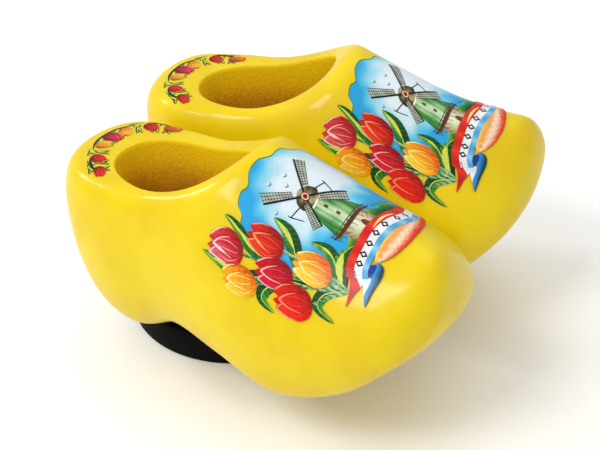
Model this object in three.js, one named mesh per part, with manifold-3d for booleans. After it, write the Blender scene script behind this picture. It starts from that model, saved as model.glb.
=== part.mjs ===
// A pair of small carved poplar clogs, bonded side by side, toes apart, on one round ferrite magnet.
// Units are millimetres and +Z is up. The toes point along -Y, so the wearer's right clog stands at -X.
import * as THREE from 'three';
import { mergeVertices } from 'three/addons/utils/BufferGeometryUtils.js';
import Module from 'manifold-3d';

const wasm = await Module();
wasm.setup();

// ---- How the pair stands ------------------------------------------------------------------
const CLOG_LENGTH = 47.5;
const CLOG_SPACING = 22.3;                           // between the pivots of the two clogs
const TOE_OUT = THREE.MathUtils.degToRad(11.5);      // each clog turns its toe outwards
const TOE_LIFT = THREE.MathUtils.degToRad(8.7);      // and rises towards the toe
const PIVOT_FROM_HEEL = 0.45 * CLOG_LENGTH;
const SOLE_HEIGHT = 6.45;                            // heel tread line above the table, at the pivot

// ---- The clog's lines, each evenly spaced along the clog from the heel's back to the toe's tip
const HALF_WIDTH = [0, 5, 8, 9.2, 9.3, 10.7, 11.9, 11.6, 9.5, 4.8, 0];
const TOP_LINE = [17, 21.5, 24.7, 25.6, 25.9, 26, 22.4, 18.8, 16.7, 15.1, 11];
const SOLE_LINE = [17, 8.6, 2.2, 0.2, 2.4, 1.1, -1.3, 0.1, 4.1, 7.1, 11];
const WIDEST_LINE = [17, 15, 13.7, 11.6, 10.9, 8.6, 6.1, 6.6, 6.9, 8.9, 11];
const COLLAR_LINE = [20.9, 21.1, 21.1, 20.4, 20.2, 22.8, 29.5, 34, 34, 34, 34];
const UPPER_FULLNESS = [2.15, 2.1, 1.45, 1.9];       // 2 is an ellipse, more is squarer
const LOWER_FULLNESS = [2.3, 2.8, 3.35, 1.95];
const OUTWARD_SHIFT = [0, 1.2, 0, -2, 0.7];          // the last bends outwards round the foot
const COLLAR_EDGE_ROUND = 2;

// ---- The foot hollow: rings from above the sawn collar down to the floor ------------------
const HOLLOW_SHIFT = { right: 1.5, left: 0 };        // towards the outer side, bored by hand
const HOLLOW_FULLNESS = 2.3;
const HOLLOW_RINGS = [
  { depth: -6, back: 7.2, front: 24, halfWidth: 5.3 },
  { depth: 0, back: 7.2, front: 24, halfWidth: 5.3 },
  { depth: 3, back: 7.6, front: 25.5, halfWidth: 5.2 },
  { depth: 6, back: 8.3, front: 28.5, halfWidth: 5 },
  { depth: 9, back: 9.7, front: 31, halfWidth: 4.5 },
  { depth: 11.5, back: 12.5, front: 30.5, halfWidth: 3.3 },
];
const HOLLOW_FLOOR = { depth: 12.4, middle: 21.5 };
const HOLLOW_RIM_END = 23;                           // the rings follow the collar up to here

// ---- The magnet and the adhesive under each heel -------------------------------------------
const MAGNET_DIAMETER = 25;
const MAGNET_THICKNESS = 4;
const MAGNET_EDGE = 0.3;
const MAGNET_BEHIND_PIVOTS = 8.9;
const ADHESIVE_LENGTH = 9;
const ADHESIVE_WIDTH = 7;
const ADHESIVE_TOP = 6.4;
const ADHESIVE_CENTRE = { x: 7.4, y: 10.6 };         // from the pair's middle, towards the heels
const FLAT_GAP = 0.05;
const CURVED_GAP = 0.3;

// ---- The printed transfers -----------------------------------------------------------------
const FILM_GAP = 0.08;
const FILM_THICKNESS = 0.12;
const GARLAND_LIFT = 0.25;
const GARLAND_WIDTH = 2.4;
// The garland's middle line in plan: towards +X from the clog's axis, and forwards from the heel.
const GARLAND_LINE = {
  right: [[-7.2, 8.7], [-4.4, 5.8], [-2.4, 4.6], [0, 4.3], [2.3, 5], [4, 6.8], [5.2, 9.5]],
  left: [[-4.9, 7], [-2.5, 4.9], [-0.5, 4.1], [2.3, 4.3], [4.5, 5.5], [5.9, 7.6], [6.4, 10.8]],
};

const STATIONS = 32;
const SIDES = 36;
const HOLLOW_SIDES = 28;

const poplarLacquer = () => new THREE.MeshStandardMaterial({ color: '#f6d61c', roughness: 0.3 });
const transferInk = () => new THREE.MeshStandardMaterial({ color: '#c8442c', roughness: 0.35 });

// A smooth line through values that are evenly spaced from 0 to 1.
function smoothLine(values) {
  const last = values.length - 1;
  const slopes = values.map((value, i) => (values[Math.min(i + 1, last)] - values[Math.max(i - 1, 0)]) / 2);
  slopes[0] = 1.5 * (values[1] - values[0]) - 0.5 * slopes[1];
  slopes[last] = 1.5 * (values[last] - values[last - 1]) - 0.5 * slopes[last - 1];
  return (at) => {
    const i = Math.min(Math.floor(at * last), last - 1);
    const t = at * last - i;
    return (2 * t ** 3 - 3 * t ** 2 + 1) * values[i] + (t ** 3 - 2 * t ** 2 + t) * slopes[i]
      + (3 * t ** 2 - 2 * t ** 3) * values[i + 1] + (t ** 3 - t ** 2) * slopes[i + 1];
  };
}

const lines = {
  halfWidth: smoothLine(HALF_WIDTH),
  top: smoothLine(TOP_LINE),
  sole: smoothLine(SOLE_LINE),
  widest: smoothLine(WIDEST_LINE),
  collar: smoothLine(COLLAR_LINE),
  upperFullness: smoothLine(UPPER_FULLNESS),
  lowerFullness: smoothLine(LOWER_FULLNESS),
  shift: smoothLine(OUTWARD_SHIFT),
};

// Stations crowd towards both ends, which rounds the heel and the toe.
const lengthAt = (station) => CLOG_LENGTH * (1 - Math.cos(Math.PI * station)) / 2;
const stationAt = (length) => Math.acos(1 - 2 * length / CLOG_LENGTH) / Math.PI;
const towards = (value, power) => Math.sign(value) * Math.abs(value) ** power;

function smoothMinimum(a, b, radius) {
  const mix = THREE.MathUtils.clamp(0.5 + 0.5 * (b - a) / radius, 0, 1);
  return b * (1 - mix) + a * mix - radius * mix * (1 - mix);
}

// A point of the carved surface: outward across the clog, back from the pivot, and up.
function carvedPoint(station, angle) {
  const across = Math.cos(angle);
  const up = Math.sin(angle);
  const widest = lines.widest(station);
  const fullness = up >= 0 ? lines.upperFullness(station) : lines.lowerFullness(station);
  const rise = Math.abs(up) ** (2 / fullness);
  const x = towards(across, 2 / fullness) * lines.halfWidth(station) + lines.shift(station);
  let z = widest + (lines.sole(station) - widest) * rise;
  if (up >= 0) {
    const rounded = widest + (lines.top(station) - widest) * rise;
    z = smoothMinimum(rounded, lines.collar(station), COLLAR_EDGE_ROUND);
  }
  return new THREE.Vector3(x, PIVOT_FROM_HEEL - lengthAt(station), z);
}

function carvedNormal(station, angle) {
  const step = 1e-3;
  const along = carvedPoint(station + step, angle).sub(carvedPoint(station - step, angle));
  const around = carvedPoint(station, angle + step).sub(carvedPoint(station, angle - step));
  return around.cross(along).normalize();
}

// A closed skin over rings of points; a ring of one point closes an end.
function skin(rings) {
  const points = rings.flat();
  const starts = [];
  rings.reduce((count, ring) => { starts.push(count); return count + ring.length; }, 0);
  const triangles = [];
  for (let r = 0; r + 1 < rings.length; r += 1) {
    const sides = Math.max(rings[r].length, rings[r + 1].length);
    for (let s = 0; s < sides; s += 1) {
      const a = starts[r] + s % rings[r].length;
      const b = starts[r] + (s + 1) % rings[r].length;
      const c = starts[r + 1] + s % rings[r + 1].length;
      const d = starts[r + 1] + (s + 1) % rings[r + 1].length;
      if (a !== b) triangles.push(a, b, d);
      if (c !== d) triangles.push(a, d, c);
    }
  }
  return meshFrom(points, triangles);
}

// Makes a geometry from points and triangles, turned so that its volume is positive.
function meshFrom(points, triangles) {
  let volume = 0;
  for (let i = 0; i < triangles.length; i += 3) {
    const [a, b, c] = [points[triangles[i]], points[triangles[i + 1]], points[triangles[i + 2]]];
    volume += a.dot(b.clone().cross(c));
  }
  const turned = volume < 0 ? triangles.toReversed() : triangles;
  const geometry = new THREE.BufferGeometry().setFromPoints(points);
  geometry.setIndex(turned);
  return geometry;
}

function solidFrom(geometry) {
  const bare = geometry.clone();
  bare.deleteAttribute('normal');
  bare.deleteAttribute('uv');
  const merged = mergeVertices(bare);
  return new wasm.Manifold(new wasm.Mesh({
    numProp: 3,
    vertProperties: new Float32Array(merged.attributes.position.array),
    triVerts: new Uint32Array(merged.index.array),
  }));
}

function geometryFrom(solid) {
  const { vertProperties, triVerts } = solid.getMesh();
  const geometry = new THREE.BufferGeometry();
  geometry.setAttribute('position', new THREE.Float32BufferAttribute(vertProperties, 3));
  geometry.setIndex(new THREE.Uint32BufferAttribute(triVerts, 1));
  return geometry;
}

const sided = (side) => (point) => new THREE.Vector3(side * point.x, point.y, point.z);

function carvedBlock(side, drop = 0) {
  const lowered = (point) => new THREE.Vector3(side * point.x, point.y, point.z - drop);
  const rings = [[lowered(carvedPoint(0, Math.PI / 2))]];
  for (let i = 1; i < STATIONS; i += 1) {
    const ring = [];
    for (let s = 0; s < SIDES; s += 1) {
      ring.push(lowered(carvedPoint(i / STATIONS, 2 * Math.PI * s / SIDES)));
    }
    rings.push(ring);
  }
  rings.push([lowered(carvedPoint(1, Math.PI / 2))]);
  return skin(rings);
}

function hollowPoint(shift, { depth, back, front, halfWidth }, angle) {
  const x = shift + halfWidth * towards(Math.cos(angle), 2 / HOLLOW_FULLNESS);
  const middle = (back + front) / 2;
  const length = middle + (front - back) / 2 * towards(Math.sin(angle), 2 / HOLLOW_FULLNESS);
  const z = lines.collar(stationAt(Math.min(length, HOLLOW_RIM_END))) - depth;
  return new THREE.Vector3(x, PIVOT_FROM_HEEL - length, z);
}

function footHollow(side, hand) {
  const place = sided(side);
  const shift = HOLLOW_SHIFT[hand];
  const atMiddle = (depth) => hollowPoint(
    shift, { depth, back: HOLLOW_FLOOR.middle, front: HOLLOW_FLOOR.middle, halfWidth: 0 }, 0);
  const rings = HOLLOW_RINGS.map((ring) => {
    const points = [];
    for (let s = 0; s < HOLLOW_SIDES; s += 1) {
      points.push(place(hollowPoint(shift, ring, 2 * Math.PI * s / HOLLOW_SIDES)));
    }
    return points;
  });
  return skin([[place(atMiddle(HOLLOW_RINGS[0].depth))], ...rings, [place(atMiddle(HOLLOW_FLOOR.depth))]]);
}

function clog(side, hand) {
  return geometryFrom(solidFrom(carvedBlock(side)).subtract(solidFrom(footHollow(side, hand))));
}

// A thin film between two sheets of points with equal rows; it has the sheets' own facets.
function film(lower, upper) {
  const rows = lower.length;
  const columns = lower[0].length;
  const points = [...lower.flat(), ...upper.flat()];
  const at = (sheet, row, column) => sheet * rows * columns + row * columns + column;
  const triangles = [];
  const quad = (a, b, c, d) => triangles.push(a, b, d, a, d, c);
  for (let r = 0; r + 1 < rows; r += 1) {
    for (let c = 0; c + 1 < columns; c += 1) {
      quad(at(0, r, c), at(0, r, c + 1), at(0, r + 1, c), at(0, r + 1, c + 1));
      triangles.push(at(1, r, c), at(1, r + 1, c + 1), at(1, r, c + 1));
      triangles.push(at(1, r, c), at(1, r + 1, c), at(1, r + 1, c + 1));
    }
    quad(at(0, r + 1, 0), at(1, r + 1, 0), at(0, r, 0), at(1, r, 0));
    quad(at(0, r, columns - 1), at(1, r, columns - 1), at(0, r + 1, columns - 1), at(1, r + 1, columns - 1));
  }
  for (let c = 0; c + 1 < columns; c += 1) {
    quad(at(0, 0, c), at(1, 0, c), at(0, 0, c + 1), at(1, 0, c + 1));
    quad(at(0, rows - 1, c + 1), at(1, rows - 1, c + 1), at(0, rows - 1, c), at(1, rows - 1, c));
  }
  return meshFrom(points, triangles);
}

// The picture on the instep. Both clogs take the same print, so it lies towards -X on each.
function vampTransfer(side) {
  const place = sided(side);
  const [firstStation, lastStation] = [17, 25];
  const [firstSide, lastSide] = side < 0 ? [3, 12] : [6, 15];
  const sheet = (lift) => {
    const rows = [];
    for (let i = firstStation; i <= lastStation; i += 1) {
      const row = [];
      for (let s = firstSide; s <= lastSide; s += 1) {
        const [station, angle] = [i / STATIONS, 2 * Math.PI * s / SIDES];
        row.push(place(carvedPoint(station, angle).addScaledVector(carvedNormal(station, angle), lift)));
      }
      rows.push(row);
    }
    return rows;
  };
  return film(sheet(FILM_GAP), sheet(FILM_GAP + FILM_THICKNESS));
}

// The angle at which the upper surface reaches a distance outwards, at a station.
function angleAt(station, outwards) {
  let [outer, inner] = [0, Math.PI];
  for (let halving = 0; halving < 30; halving += 1) {
    const middle = (outer + inner) / 2;
    if (carvedPoint(station, middle).x > outwards) outer = middle;
    else inner = middle;
  }
  return outer;
}

// The flower garland on the collar, round the back of the opening.
function heelTransfer(side, hand) {
  const place = sided(side);
  const line = new THREE.SplineCurve(GARLAND_LINE[hand].map(([x, y]) => new THREE.Vector2(x, y)));
  const steps = 18;
  const sheet = (lift) => {
    const rows = [];
    for (let i = 0; i <= steps; i += 1) {
      const middle = line.getPointAt(i / steps);
      const along = line.getTangentAt(i / steps);
      rows.push([-0.5, 0, 0.5].map((across) => {
        const x = middle.x - across * GARLAND_WIDTH * along.y;
        const station = stationAt(middle.y + across * GARLAND_WIDTH * along.x);
        const angle = angleAt(station, side * x);
        return place(carvedPoint(station, angle).addScaledVector(carvedNormal(station, angle), lift));
      }));
    }
    return rows;
  };
  return film(sheet(GARLAND_LIFT), sheet(GARLAND_LIFT + FILM_THICKNESS));
}

function magnetDisc() {
  const radius = MAGNET_DIAMETER / 2;
  const outline = [
    [0, 0], [radius - MAGNET_EDGE, 0], [radius, MAGNET_EDGE],
    [radius, MAGNET_THICKNESS - MAGNET_EDGE], [radius - MAGNET_EDGE, MAGNET_THICKNESS], [0, MAGNET_THICKNESS],
  ];
  const disc = new THREE.LatheGeometry(outline.map(([x, y]) => new THREE.Vector2(x, y)), 48);
  return disc.rotateX(Math.PI / 2);
}

function add(parent, name, geometry, material) {
  const mesh = new THREE.Mesh(geometry, material);
  mesh.name = name;
  parent.add(mesh);
  return mesh;
}

// The clog's own frame in the pair: it stands at its pivot, turned outwards and tipped back.
function clogFrame(side) {
  const frame = new THREE.Group();
  frame.position.set(side * CLOG_SPACING / 2, 0, SOLE_HEIGHT);
  frame.rotation.set(-TOE_LIFT, 0, side * TOE_OUT, 'ZYX');
  return frame;
}

// A pool of set adhesive on the magnet, its top moulded by the sole above it.
function adhesivePad(side) {
  const bottom = MAGNET_THICKNESS + FLAT_GAP;
  const height = ADHESIVE_TOP - bottom;
  const profile = [[0, 0], [1, 0], [0.97, 0.4], [0.86, 0.8], [0.8, 1], [0, 1]];
  const pool = new THREE.LatheGeometry(profile.map(([x, y]) => new THREE.Vector2(x, y)), 28);
  pool.rotateX(Math.PI / 2);
  pool.scale(ADHESIVE_WIDTH / 2, ADHESIVE_LENGTH / 2, height);
  pool.translate(side * ADHESIVE_CENTRE.x, ADHESIVE_CENTRE.y, bottom);
  const frame = clogFrame(side);
  frame.updateMatrixWorld();
  const sole = carvedBlock(side, CURVED_GAP).applyMatrix4(frame.matrixWorld);
  return geometryFrom(solidFrom(pool).subtract(solidFrom(sole)));
}

const pair = new THREE.Group();
for (const [side, hand] of [[-1, 'right'], [1, 'left']]) {
  const frame = clogFrame(side);
  add(frame, `clog_${hand}`, clog(side, hand), poplarLacquer());
  add(frame, `vamp_transfer_${hand}`, vampTransfer(side), transferInk());
  add(frame, `heel_transfer_${hand}`, heelTransfer(side, hand), transferInk());
  pair.add(frame);
  const glue = new THREE.MeshStandardMaterial({ color: '#d8cfa8', roughness: 0.45 });
  add(pair, `adhesive_${hand}`, adhesivePad(side), glue);
}
const ferrite = new THREE.MeshStandardMaterial({ color: '#17171a', roughness: 0.6, metalness: 0.1 });
add(pair, 'magnet_disc', magnetDisc(), ferrite).position.y = MAGNET_BEHIND_PIVOTS;

// The origin is under the middle of the whole object, on the table.
const extent = new THREE.Box3().setFromObject(pair, true);
pair.position.set(0, -(extent.min.y + extent.max.y) / 2, -extent.min.z);
const model = new THREE.Group();
model.add(pair);

export default model;
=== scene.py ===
from math import cos, pi, radians, sin

import bmesh
import bpy
import numpy as np
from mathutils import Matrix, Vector
from mathutils.bvhtree import BVHTree


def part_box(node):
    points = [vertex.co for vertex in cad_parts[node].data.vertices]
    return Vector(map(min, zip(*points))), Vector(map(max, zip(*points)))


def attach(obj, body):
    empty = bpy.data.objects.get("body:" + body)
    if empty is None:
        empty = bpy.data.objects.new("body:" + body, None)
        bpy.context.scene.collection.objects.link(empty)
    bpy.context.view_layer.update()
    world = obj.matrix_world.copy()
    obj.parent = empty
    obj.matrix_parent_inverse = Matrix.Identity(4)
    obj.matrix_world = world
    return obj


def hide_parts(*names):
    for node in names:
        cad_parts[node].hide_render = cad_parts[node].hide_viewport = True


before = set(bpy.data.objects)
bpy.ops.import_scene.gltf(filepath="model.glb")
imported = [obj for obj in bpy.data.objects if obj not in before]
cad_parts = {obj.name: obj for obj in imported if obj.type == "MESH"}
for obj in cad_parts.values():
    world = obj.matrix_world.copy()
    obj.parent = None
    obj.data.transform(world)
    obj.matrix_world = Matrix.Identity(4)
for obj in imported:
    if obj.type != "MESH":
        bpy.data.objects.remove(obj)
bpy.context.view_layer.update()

# ---- The magnet ------------------------------------------------------------------------------
# A stock ferrite disc: black iron oxide and ceramic powder, pressed in a die and sintered.
# Its two faces are ground flat and its edges have the small chamfer of the die.
MM = 0.001
DISC_CHAMFER = 0.35 * MM
FERRITE = "#040405"
FERRITE_DUST = "#101011"
FERRITE_GRAIN = 0.5 * MM     # coarser than real sinter grain, so that it shows


def linear(hex_colour):
    channels = [int(hex_colour[i:i + 2], 16) / 255 for i in (1, 3, 5)]
    return [c / 12.92 if c <= 0.04045 else ((c + 0.055) / 1.055) ** 2.4 for c in channels] + [1.0]


def add_node(tree, kind, settings=None, **inputs):
    """Adds a shader node. An input, named or numbered like i0, is a value or another node's socket."""
    node = tree.nodes.new("ShaderNode" + kind)
    for name, value in (settings or {}).items():
        setattr(node, name, value)
    for name, value in inputs.items():
        numbered = name[0] == "i" and name[1:].isdigit()
        socket = node.inputs[int(name[1:]) if numbered else name.replace("_", " ")]
        if isinstance(value, bpy.types.NodeSocket):
            tree.links.new(value, socket)
        else:
            socket.default_value = value
    return node


def ramp(tree, factor, stops):
    node = add_node(tree, "ValToRGB", i0=factor)
    elements = node.color_ramp.elements
    while len(elements) < len(stops):
        elements.new(0.5)
    for element, (place, colour) in zip(elements, stops):
        element.position = place
        element.color = linear(colour)
    return node.outputs[0]


def new_material(name, **shader_values):
    material = bpy.data.materials.new(name)
    material.use_nodes = True
    tree = material.node_tree
    shader = tree.nodes["Principled BSDF"]
    for key, value in shader_values.items():
        shader.inputs[key.replace("_", " ")].default_value = value
    return material, tree, shader


def finished_piece(name, mesh_edit, *materials):
    """Makes a smooth-shaded mesh object from a bmesh, which it frees."""
    mesh = bpy.data.meshes.new(name)
    mesh_edit.to_mesh(mesh)
    mesh_edit.free()
    for material in materials:
        mesh.materials.append(material)
    mesh.shade_smooth()
    piece = bpy.data.objects.new(name, mesh)
    bpy.context.scene.collection.objects.link(piece)
    return piece


sintered_ferrite, tree, shader = new_material("sintered ferrite", Roughness=0.62, Specular_IOR_Level=0.06)
place = add_node(tree, "TexCoord").outputs["Object"]
grain = add_node(tree, "TexNoise", Vector=place, Scale=1 / FERRITE_GRAIN, Detail=4.0).outputs["Fac"]
tree.links.new(ramp(tree, grain, [(0.45, FERRITE), (0.75, FERRITE_DUST)]), shader.inputs["Base Color"])
dent = add_node(tree, "Bump", Height=grain, Distance=0.04 * MM, Strength=0.6)
tree.links.new(dent.outputs[0], shader.inputs["Normal"])

disc_low, disc_high = (Vector(corner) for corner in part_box("magnet_disc"))
disc_middle = (disc_low + disc_high) / 2
disc_radius = (disc_high.x - disc_low.x) / 2
disc_height = disc_high.z - disc_low.z
disc = bmesh.new()
bmesh.ops.create_cone(disc, cap_ends=True, segments=160, radius1=disc_radius, radius2=disc_radius,
                      depth=disc_height)
bmesh.ops.translate(disc, verts=disc.verts, vec=disc_middle)
rims = [e for e in disc.edges if abs(e.verts[0].co.z - e.verts[1].co.z) < 1e-7]
bmesh.ops.bevel(disc, geom=rims, offset=DISC_CHAMFER, affect="EDGES", segments=3, profile=0.5, material=-1)
magnet = finished_piece("magnet", disc, sintered_ferrite)
magnet.data.set_sharp_from_angle(angle=radians(40))
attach(magnet, "root")
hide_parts("magnet_disc")

# ---- The clogs -------------------------------------------------------------------------------
# Each is carved from one block of poplar on a copying lathe, sawn straight across at the collar,
# hollowed with a long bit and dipped in yellow lacquer, which is thin and rough inside.
# These sizes are in millimetres. Side -1 is the right clog, at -X, and side 1 the left.
CLOG_LENGTH = 47.5
CLOG_SPACING = 22.3
TOE_OUT = radians(11.5)
TOE_LIFT = radians(8.7)
PIVOT_FROM_HEEL = 0.45 * CLOG_LENGTH
SOLE_HEIGHT = 6.45
DISC_BEHIND_PIVOTS = 8.9
# The clog's lines, at even stations from the heel's back to the toe's tip. Stations lie closer
# together at both ends, as the rings of a sphere do.
HALF_WIDTH = [0, 5, 8, 9.2, 9.3, 10.7, 11.9, 11.6, 9.5, 4.8, 0]
TOP_LINE = [17, 21.5, 24.7, 25.6, 25.9, 26, 22.4, 18.8, 16.7, 15.1, 11]
SOLE_LINE = [17, 8.6, 2.2, 0.2, 2.4, 1.1, -1.3, 0.1, 4.1, 7.1, 11]
WIDEST_LINE = [17, 15, 13.7, 11.6, 10.9, 8.6, 6.1, 6.6, 6.9, 8.9, 11]
COLLAR_LINE = [20.9, 21.1, 21.1, 20.4, 20.2, 22.8, 29.5, 34, 34, 34, 34]
UPPER_FULLNESS = [2.15, 2.1, 1.45, 1.9]
LOWER_FULLNESS = [2.3, 2.8, 3.35, 1.95]
OUTWARD_SHIFT = [0, 1.2, 0, -2, 0.7]
COLLAR_EDGE_ROUND = 2.0
RIDGE_SOFTNESS = 0.3
# The hollow: its shift outwards on each clog, the rings' depths under the collar, and their plans.
HOLLOW_SHIFT = {-1: 1.5, 1: 0}
HOLLOW_FULLNESS = 2.3
HOLLOW_DEPTH = [-6, 0, 3, 6, 9, 11.5, 12.4]
HOLLOW_BACK = [7.2, 7.2, 7.6, 8.3, 9.7, 12.5, 21.5]
HOLLOW_FRONT = [24, 24, 25.5, 28.5, 31, 30.5, 21.5]
HOLLOW_HALF_WIDTH = [5.3, 5.3, 5.2, 5, 4.5, 3.3, 0]
# How far along the clog the collar still rises for the hollow: deep in it, and at its mouth.
HOLLOW_RIM_END = 23
MOUTH_RIM_END = 24.8
RIM_ROUND = 0.35
CLOG_MESH = (150, 200)       # rings and sides
CUTTER_MESH = (90, 140)
LACQUER = "#dec202"
LACQUER_THIN = "#d9b901"
LACQUER_POOLED = "#e2c904"
# Painted shade in the hollow: dark brown at its floor, up to the lacquer's yellow at its mouth.
HOLLOW_SHADE_RAMP = ["#8f5402", "#c88d02", "#ecbe02", "#f4d006"]     # from the floor up to the mouth
FLOOR_HEIGHT = 17.5 * MM
MOUTH_HEIGHT = 26.5 * MM
BRUSH_WIDTH = 6.0 * MM
ORANGE_PEEL = 1.1 * MM
WOOD_GRAIN = 0.4 * MM


def smooth_line(values, at):
    """The smooth line through values that are evenly spaced from 0 to 1."""
    values = np.asarray(values, float)
    last = len(values) - 1
    slopes = np.gradient(values)
    slopes[0] = 1.5 * (values[1] - values[0]) - 0.5 * slopes[1]
    slopes[last] = 1.5 * (values[last] - values[last - 1]) - 0.5 * slopes[last - 1]
    i = np.clip(np.floor(np.asarray(at) * last).astype(int), 0, last - 1)
    t = np.asarray(at) * last - i
    return ((2 * t ** 3 - 3 * t ** 2 + 1) * values[i] + (t ** 3 - 2 * t ** 2 + t) * slopes[i]
            + (3 * t ** 2 - 2 * t ** 3) * values[i + 1] + (t ** 3 - t ** 2) * slopes[i + 1])


def length_at(station):
    return CLOG_LENGTH * (1 - np.cos(pi * station)) / 2


def station_at(length):
    return np.arccos(np.clip(1 - 2 * length / CLOG_LENGTH, -1, 1)) / pi


def smooth_minimum(a, b, radius):
    mix = np.clip(0.5 + 0.5 * (b - a) / radius, 0, 1)
    return b * (1 - mix) + a * mix - radius * mix * (1 - mix)


def softened_power(value, power):
    """Like sign(value) * abs(value) ** power, but straight through zero, which rounds a ridge off."""
    soft = RIDGE_SOFTNESS ** 2
    return value * ((value ** 2 + soft) / (1 + soft)) ** ((power - 1) / 2)


def carved_points(station, angle):
    """Points of the carved surface in the clog's own frame: outwards, back from the pivot, up."""
    station, angle = np.broadcast_arrays(np.asarray(station, float), np.asarray(angle, float))
    across, up = np.cos(angle), np.sin(angle)
    widest = smooth_line(WIDEST_LINE, station)
    fullness = np.where(up >= 0, smooth_line(UPPER_FULLNESS, station),
                        smooth_line(LOWER_FULLNESS, station))
    rise = np.abs(softened_power(up, 2 / fullness))
    x = softened_power(across, 2 / fullness) * smooth_line(HALF_WIDTH, station)
    x = x + smooth_line(OUTWARD_SHIFT, station)
    top = widest + (smooth_line(TOP_LINE, station) - widest) * rise
    top = smooth_minimum(top, smooth_line(COLLAR_LINE, station), COLLAR_EDGE_ROUND)
    sole = widest + (smooth_line(SOLE_LINE, station) - widest) * rise
    return np.stack([x, PIVOT_FROM_HEEL - length_at(station), np.where(up >= 0, top, sole)], axis=-1)


def stand(side, points):
    """Stands points of a clog's own frame in the pair, in metres."""
    x, y, z = side * points[..., 0], points[..., 1], points[..., 2]
    lift, turn = -TOE_LIFT, side * TOE_OUT
    y, z = y * cos(lift) - z * sin(lift), y * sin(lift) + z * cos(lift)
    x, y = x * cos(turn) - y * sin(turn), x * sin(turn) + y * cos(turn)
    x, y, z = x + side * CLOG_SPACING / 2, y - DISC_BEHIND_PIVOTS, z + SOLE_HEIGHT
    return np.stack([x, y, z], axis=-1) * MM + np.array([disc_middle.x, disc_middle.y, disc_low.z])


def wrapped_sphere(rings, sides, surface):
    """A sphere with its poles at heel and toe, each vertex moved to surface(station, angle)."""
    wrapped = bmesh.new()
    bmesh.ops.create_uvsphere(wrapped, u_segments=sides, v_segments=rings, radius=1.0)
    ball = np.array([v.co for v in wrapped.verts])
    station = np.arccos(np.clip(ball[:, 2], -1, 1)) / pi
    angle = np.arctan2(ball[:, 1], ball[:, 0])
    for vertex, point in zip(wrapped.verts, surface(station, angle)):
        vertex.co = point
    if wrapped.calc_volume(signed=True) < 0:
        bmesh.ops.reverse_faces(wrapped, faces=wrapped.faces)
    return wrapped


def hollow_points(side, depth, back, front, half_width, angle):
    """Points of the cutter's rings, each at its depth under the collar, in the clog's own frame."""
    power = 2 / HOLLOW_FULLNESS
    across, along = np.cos(angle), np.sin(angle)
    x = HOLLOW_SHIFT[side] + half_width * np.sign(across) * np.abs(across) ** power
    length = (back + front) / 2 + (front - back) / 2 * np.sign(along) * np.abs(along) ** power
    rim_end = np.interp(depth, [0.5, 3], [MOUTH_RIM_END, HOLLOW_RIM_END])
    z = smooth_line(COLLAR_LINE, station_at(np.minimum(length, rim_end))) - depth
    return np.stack([x, PIVOT_FROM_HEEL - length, z], axis=-1)


def hollow_surface(side, station, angle):
    """The cutter, from its flat top, 3 mm over the collar, round the softened rim, down to the floor."""
    top_edge, rim_start, rim_end = 0.04, 0.3, 0.34
    depth = np.interp(station, [0, top_edge, rim_start, rim_end, 1],
                      [-3, -3, -RIM_ROUND, RIM_ROUND, HOLLOW_DEPTH[-1]])
    at = np.interp(depth, HOLLOW_DEPTH, np.linspace(0, 1, len(HOLLOW_DEPTH)))
    flare = np.clip(1 - (depth + RIM_ROUND) / (2 * RIM_ROUND), 0, 1) ** 2 * RIM_ROUND * 1.2
    shut = np.clip(station / top_edge, 0, 1)
    lines = [smooth_line(line, at) for line in (HOLLOW_BACK, HOLLOW_FRONT, HOLLOW_HALF_WIDTH)]
    back, front, half_width = lines[0] - flare, lines[1] + flare, lines[2] + flare
    middle = (back + front) / 2
    return hollow_points(side, depth, middle + (back - middle) * shut, middle + (front - middle) * shut,
                         half_width * shut, angle)


def carve_clog(side, name):
    """The block with its hollow cut out. The hollow's faces take the second material."""
    block_mesh = wrapped_sphere(*CLOG_MESH, lambda s, a: stand(side, carved_points(s, a)))
    block = finished_piece(name, block_mesh, lacquered_poplar, rough_hollow)
    cutter_mesh = wrapped_sphere(*CUTTER_MESH, lambda s, a: stand(side, hollow_surface(side, s, a)))
    for face in cutter_mesh.faces:
        face.material_index = 1
    cutter = finished_piece(name + "_cutter", cutter_mesh, lacquered_poplar, rough_hollow)
    cut = block.modifiers.new("hollow", "BOOLEAN")
    cut.object = cutter
    cut.solver = "EXACT"
    bpy.context.view_layer.update()
    evaluated = block.evaluated_get(bpy.context.evaluated_depsgraph_get())
    carved = bpy.data.meshes.new_from_object(evaluated)
    block.modifiers.clear()
    block.data = carved
    bpy.data.objects.remove(cutter)
    carved.set_sharp_from_angle(angle=radians(50))
    return block


# Gloss lacquer over wood: even and bright, with a little orange peel and a soft clear gloss.
lacquered_poplar, tree, shader = new_material(
    "yellow lacquer on poplar", Roughness=0.45, Coat_Weight=0.27, Coat_Roughness=0.13,
    Specular_IOR_Level=0.15)
place = add_node(tree, "TexCoord").outputs["Object"]
cloud = add_node(tree, "TexNoise", Vector=place, Scale=1 / BRUSH_WIDTH, Detail=3.0).outputs["Fac"]
tint = ramp(tree, cloud, [(0.3, LACQUER_THIN), (0.5, LACQUER), (0.75, LACQUER_POOLED)])
tree.links.new(tint, shader.inputs["Base Color"])
peel = add_node(tree, "TexNoise", Vector=place, Scale=1 / ORANGE_PEEL, Detail=2.0).outputs["Fac"]
skin = add_node(tree, "Bump", Height=peel, Distance=0.06 * MM, Strength=0.45)
tree.links.new(skin.outputs[0], shader.inputs["Normal"])
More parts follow.
